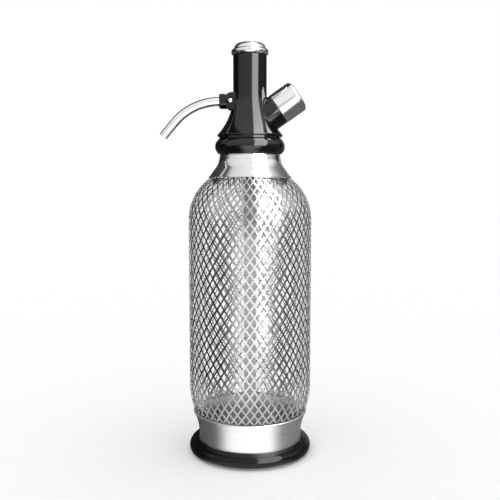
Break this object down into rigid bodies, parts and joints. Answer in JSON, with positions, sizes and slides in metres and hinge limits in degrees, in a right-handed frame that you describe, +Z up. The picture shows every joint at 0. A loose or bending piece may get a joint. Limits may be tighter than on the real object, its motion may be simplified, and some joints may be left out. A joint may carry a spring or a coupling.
{
  "type": "soda siphon",
  "caption": "Glass soda siphon in a woven wire sleeve, with a screw-on black head, a tipping bent spout that opens a sprung valve, and a capped charging stud.",
  "frame": {"origin": "centre of the foot, on the table", "axes": "+Z up the bottle, spout to -X, charging cap to +X"},
  "size_m": [0.1224, 0.1, 0.3304],
  "materials": {
    "clear_glass": "clear, thick walled",
    "sleeve_wire": "woven steel wire, bright",
    "satin_cup_metal": "satin",
    "polished_collar_metal": "polished",
    "black_moulding": "gloss black",
    "bright_chrome": "polished",
    "thread_metal": "turned",
    "valve_brass": "turned",
    "clear_plastic": "natural, milky",
    "seal_rubber": "matte",
    "pale_rubber": "matte",
    "spring_steel": "drawn wire"
  },
  "bodies": {
    "bottle": {"glass_bottle": "clear_glass", "wire_mesh_sleeve": "sleeve_wire", "bottom_cup": "satin_cup_metal", "bottle_cushion": "pale_rubber", "base_foot": "black_moulding", "neck_collar": "polished_collar_metal", "neck_thread_ring": "thread_metal", "neck_packing": "pale_rubber"},
    "riser": {"riser_tube": "clear_plastic", "measuring_tube": "clear_plastic", "riser_seal": "pale_rubber", "riser_ring": "seal_rubber"},
    "slip_washer": {"head_slip_washer": "clear_plastic"},
    "head": {"head_body": "black_moulding", "head_skirt_ring": "black_moulding", "valve_seat": "valve_brass", "valve_spring": "spring_steel", "pivot_pins": "bright_chrome", "spout_grommet": "seal_rubber", "charging_stud": "valve_brass", "piercing_pin": "spring_steel", "charger_seal": "seal_rubber", "check_spring": "spring_steel", "check_retainer": "valve_brass"},
    "spout": {"spout_block": "black_moulding", "spout_tube": "bright_chrome", "inlet_nozzle": "valve_brass"},
    "valve": {"valve_rod": "valve_brass", "valve_disc": "seal_rubber", "lift_collar": "valve_brass"},
    "cap_washer": {"top_cap_washer": "seal_rubber"},
    "cap": {"top_cap": "bright_chrome"},
    "side_cap_gasket": {"charger_cap_gasket": "seal_rubber"},
    "side_cap": {"charger_cap": "bright_chrome"},
    "gas_valve": {"check_valve": "valve_brass"}
  },
  "joints": [
    {"name": "head_lift_off", "type": "slide", "parent": "bottle", "child": "riser", "axis": [0, 0, 1], "range_m": [0, 0.25]},
    {"name": "head_rise", "type": "slide", "parent": "riser", "child": "slip_washer", "axis": [0, 0, 1], "range_m": [0, 0.0068]},
    {"name": "head_unscrew", "type": "hinge", "parent": "slip_washer", "child": "head", "pos_m": [0, 0, 0.25479], "axis": [0, 0, 1], "range_deg": [0, 810]},
    {"name": "spout_lever", "type": "hinge", "parent": "head", "child": "spout", "pos_m": [-0.0156, 0, 0.2848], "axis": [0, -1, 0], "range_deg": [0, 12], "stiffness_Nm_per_rad": 1.2, "springref_deg": -11.46, "deforming": ["spout_grommet"]},
    {"name": "valve_lift", "type": "slide", "parent": "head", "child": "valve", "axis": [0, 0, 1], "range_m": [0, 0.0027], "deforming": ["valve_spring"]},
    {"name": "cap_rise", "type": "slide", "parent": "head", "child": "cap_washer", "axis": [0, 0, 1], "range_m": [0, 0.0063]},
    {"name": "cap_unscrew", "type": "hinge", "parent": "cap_washer", "child": "cap", "pos_m": [0, 0, 0.32089], "axis": [0, 0, 1], "range_deg": [0, 1800]},
    {"name": "side_cap_rise", "type": "slide", "parent": "head", "child": "side_cap_gasket", "axis": [0.8192, 0, 0.5736], "range_m": [0, 0.0151]},
    {"name": "side_cap_unscrew", "type": "hinge", "parent": "side_cap_gasket", "child": "side_cap", "pos_m": [0.03471, 0, 0.2872], "axis": [0.8192, 0, 0.5736], "range_deg": [0, 2700]},
    {"name": "gas_valve_opens", "type": "slide", "parent": "head", "child": "gas_valve", "axis": [-0.8192, 0, -0.5736], "range_m": [0, 0.001], "stiffness_N_per_m": 100, "springref_m": -0.002, "deforming": ["check_spring"]}
  ],
  "couplings": [
    {"joint": "head_rise", "follows": "head_unscrew", "m_per_rad": 0.00047746},
    {"joint": "valve_lift", "follows": "spout_lever", "m_per_rad": 0.0125},
    {"joint": "cap_rise", "follows": "cap_unscrew", "m_per_rad": 0.00019894},
    {"joint": "side_cap_rise", "follows": "side_cap_unscrew", "m_per_rad": 0.00031831}
  ]
}
